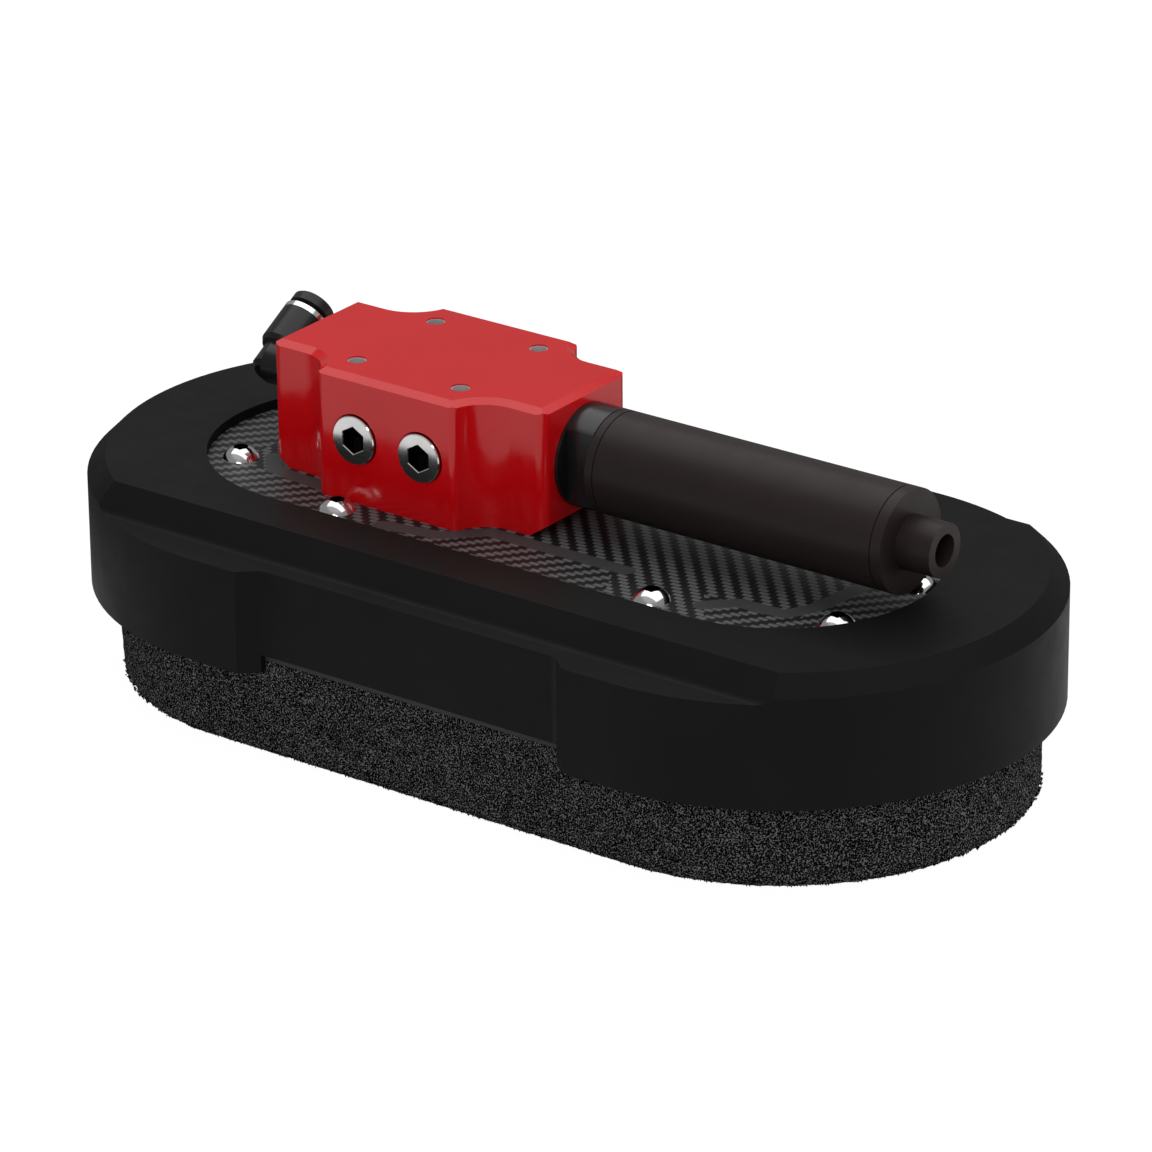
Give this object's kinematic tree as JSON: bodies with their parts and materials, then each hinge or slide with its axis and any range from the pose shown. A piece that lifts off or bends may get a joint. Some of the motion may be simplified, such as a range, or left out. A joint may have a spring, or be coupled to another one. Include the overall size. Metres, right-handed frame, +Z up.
{
  "type": "vacuum foam gripper",
  "caption": "Long round-ended vacuum gripper: black foam pad with suction holes, moulded skirt, carbon plate, red port block, air fitting and exhaust silencer.",
  "frame": {"origin": "on the floor under the middle of the skirt, in the plane of the foam pad's underside", "axes": "+X along the length towards the silencer, -Y to the front with the port plugs, +Z up towards the robot flange"},
  "size_m": [0.294, 0.154, 0.096],
  "materials": {
    "skirt": "matte",
    "carbon": "satin",
    "gasket": "matte",
    "aluminium": "satin",
    "valve_plate": "matte",
    "backing": "matte",
    "foam": "matte",
    "screws": "polished",
    "red_block": "satin",
    "bronze": "matte",
    "seals": "matte",
    "ejector": "satin",
    "plugs": "polished",
    "fitting": "satin",
    "fitting_ring": "polished",
    "adapter": "gloss",
    "silencer": "satin",
    "liner": "matte"
  },
  "bodies": {
    "gripper": {"skirt": "skirt", "top_plate": "carbon", "plate_gasket": "gasket", "chamber_frame": "aluminium", "valve_plate": "valve_plate", "foam_backing": "backing", "foam_pad": "foam", "plate_screws": "screws", "skirt_screws": "screws", "valve_plate_screws": "screws", "block_screws": "screws", "manifold_block": "red_block", "thread_inserts": "screws", "suction_screen": "bronze", "block_seal": "seals", "ejector_cartridge": "ejector", "cartridge_seals": "seals", "plug_left": "plugs", "plug_right": "plugs", "plug_seal_left": "seals", "plug_seal_right": "seals", "fitting_stem": "plugs", "silencer_adapter": "adapter", "silencer_ring": "silencer", "silencer_tube": "silencer", "silencer_core": "liner", "silencer_end_cap": "silencer"},
    "elbow": {"elbow_body": "fitting", "tube_seal": "seals", "fitting_ring": "fitting_ring"},
    "collar": {"release_collar": "fitting"}
  },
  "joints": [
    {"name": "elbow_swivel", "type": "hinge", "parent": "gripper", "child": "elbow", "pos_m": [-0.1015, 0, 0.0796], "axis": [1, 0, 0], "range_deg": [-50, 170]},
    {"name": "collar_press", "type": "slide", "parent": "elbow", "child": "collar", "axis": [0, -0.866, -0.5], "range_m": [0, 0.0012], "stiffness_N_per_m": 300}
  ]
}
